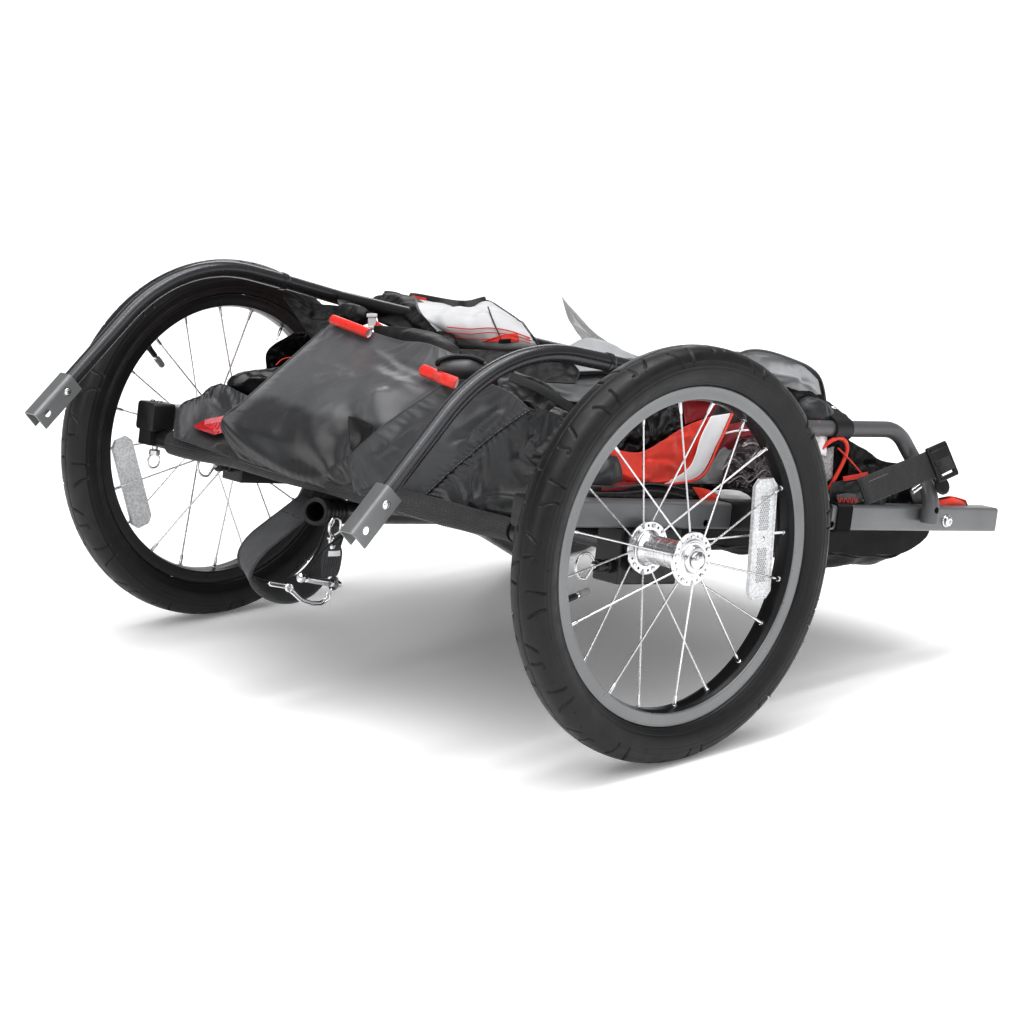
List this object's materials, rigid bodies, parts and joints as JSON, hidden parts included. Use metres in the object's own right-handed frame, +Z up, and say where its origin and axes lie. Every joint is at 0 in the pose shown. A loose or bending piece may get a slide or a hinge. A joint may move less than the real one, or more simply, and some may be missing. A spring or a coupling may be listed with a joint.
{
  "type": "child bike trailer",
  "caption": "Folded child bike trailer: spoked quick-release wheels, square base rails, hinged round-tube upper frame, tow arm stowed under the floor, slack fabric body.",
  "frame": {"origin": "centre of the bounding box on the ground plane the tyres stand on", "axes": "+Z up, +X towards the front (tow end), +Y towards the trailer's left side. The wheels turn about Y; the chassis lies nose down by 9.4 degrees about Y"},
  "size_m": [0.8654, 0.7784, 0.4081],
  "materials": {
    "gunmetal_paint": "satin",
    "rail_paint": "satin",
    "bracket_paint": "satin",
    "black_steel": "satin",
    "black_plastic": "matte",
    "bright_steel": "polished",
    "polished_alloy": "polished",
    "tyre_rubber": "matte",
    "sleeve_rubber": "matte",
    "rim_paint": "satin",
    "charcoal_nylon": "coated satin weave",
    "black_nylon": "woven",
    "red_nylon": "woven",
    "black_webbing": "ribbed webbing",
    "grey_vinyl": "clear and silver-grey film",
    "red_reflector": "prismatic",
    "white_reflector": "prismatic"
  },
  "bodies": {
    "chassis": {"base_rail_left": "rail_paint", "base_rail_right": "rail_paint", "rear_cross_tube": "black_steel", "mid_cross_tube": "gunmetal_paint", "front_floor_tube": "gunmetal_paint", "axle_receiver_left": "black_steel", "axle_receiver_right": "black_steel", "pivot_bolt_left": "bright_steel", "pivot_bolt_right": "bright_steel", "tow_clevis": "black_steel", "tow_pivot_bolt": "bright_steel", "floor_sling": "black_nylon", "foot_bag": "black_nylon", "rear_hem_sleeve": "black_webbing", "seat_sling": "red_nylon", "rear_panel_main": "charcoal_nylon", "rear_panel_right": "charcoal_nylon", "rear_flap_left": "charcoal_nylon", "rear_reflector": "red_reflector", "side_panel_left": "red_nylon", "side_panel_right": "red_nylon"},
    "upper_frame": {"rear_bend_left": "gunmetal_paint", "side_tube_left": "gunmetal_paint", "end_bracket_left": "bracket_paint", "leg_tube_left": "gunmetal_paint", "tube_clamp_left": "black_plastic", "pivot_plate_left": "black_steel", "rear_bend_right": "gunmetal_paint", "side_tube_right": "gunmetal_paint", "end_bracket_right": "bracket_paint", "leg_tube_right": "gunmetal_paint", "tube_clamp_right": "black_plastic", "pivot_plate_right": "black_steel", "front_cross_tube": "black_steel", "roof_cross_tube": "black_steel", "canopy_roof": "charcoal_nylon", "bug_screen_roll": "black_nylon", "window_roll": "grey_vinyl", "storage_strap": "black_webbing", "storage_buckle": "black_plastic"},
    "right_axle": {"wheel_axle_right": "bright_steel"},
    "right_wheel": {"tyre_right": "tyre_rubber", "rim_right": "rim_paint", "hub_and_spokes_right": "polished_alloy", "spoke_reflector_right": "white_reflector"},
    "left_axle": {"wheel_axle_left": "bright_steel"},
    "left_wheel": {"tyre_left": "tyre_rubber", "rim_left": "rim_paint", "hub_and_spokes_left": "polished_alloy", "spoke_reflector_left": "white_reflector"},
    "tow_arm": {"tow_arm": "black_steel", "arm_end_sleeve": "sleeve_rubber", "safety_strap": "black_webbing"},
    "hitch_pin": {"pin_tether": "black_webbing", "hitch_pin": "bright_steel"},
    "pin_keeper": {"pin_keeper": "bright_steel"},
    "right_lock_pin": {"lock_pin_right": "bright_steel"},
    "left_lock_pin": {"lock_pin_left": "bright_steel"},
    "right_plunger": {"plunger_pull_right": "bright_steel"},
    "left_plunger": {"plunger_pull_left": "bright_steel"}
  },
  "joints": [
    {"name": "upper_frame_fold", "type": "hinge", "parent": "chassis", "child": "upper_frame", "pos_m": [0.3147, 0, 0.1506], "axis": [0, 1, 0], "range_deg": [0, 38]},
    {"name": "right_axle_release", "type": "slide", "parent": "chassis", "child": "right_axle", "axis": [0, -1, 0], "range_m": [0, 0.11]},
    {"name": "right_wheel_spin", "type": "hinge", "parent": "right_axle", "child": "right_wheel", "pos_m": [-0.12426, -0.357, 0.1955], "axis": [0, 1, 0], "continuous": true},
    {"name": "left_axle_release", "type": "slide", "parent": "chassis", "child": "left_axle", "axis": [0, 1, 0], "range_m": [0, 0.11]},
    {"name": "left_wheel_spin", "type": "hinge", "parent": "left_axle", "child": "left_wheel", "pos_m": [-0.12426, 0.357, 0.1955], "axis": [0, 1, 0], "continuous": true},
    {"name": "tow_arm_fold", "type": "hinge", "parent": "chassis", "child": "tow_arm", "pos_m": [0.41813, 0.2957, 0.1349], "axis": [0, -1, 0], "range_deg": [0, 180]},
    {"name": "hitch_pin_swing", "type": "hinge", "parent": "tow_arm", "child": "hitch_pin", "pos_m": [-0.25637, -0.0125, 0.1824], "axis": [0, 1, 0], "range_deg": [-25, 25]},
    {"name": "pin_keeper_open", "type": "hinge", "parent": "hitch_pin", "child": "pin_keeper", "pos_m": [-0.26616, -0.0125, 0.12817], "axis": [0, -1, 0], "range_deg": [0, 120]},
    {"name": "right_lock_pin_pull", "type": "slide", "parent": "chassis", "child": "right_lock_pin", "axis": [-0.1633, 0, -0.9866], "range_m": [0, 0.06]},
    {"name": "left_lock_pin_pull", "type": "slide", "parent": "chassis", "child": "left_lock_pin", "axis": [-0.1633, 0, -0.9866], "range_m": [0, 0.06]},
    {"name": "right_plunger_pull", "type": "slide", "parent": "chassis", "child": "right_plunger", "axis": [-0.9866, 0, 0.1633], "range_m": [0, 0.008], "stiffness_N_per_m": 500, "springref_m": -0.004},
    {"name": "left_plunger_pull", "type": "slide", "parent": "chassis", "child": "left_plunger", "axis": [-0.9866, 0, 0.1633], "range_m": [0, 0.008], "stiffness_N_per_m": 500, "springref_m": -0.004}
  ]
}
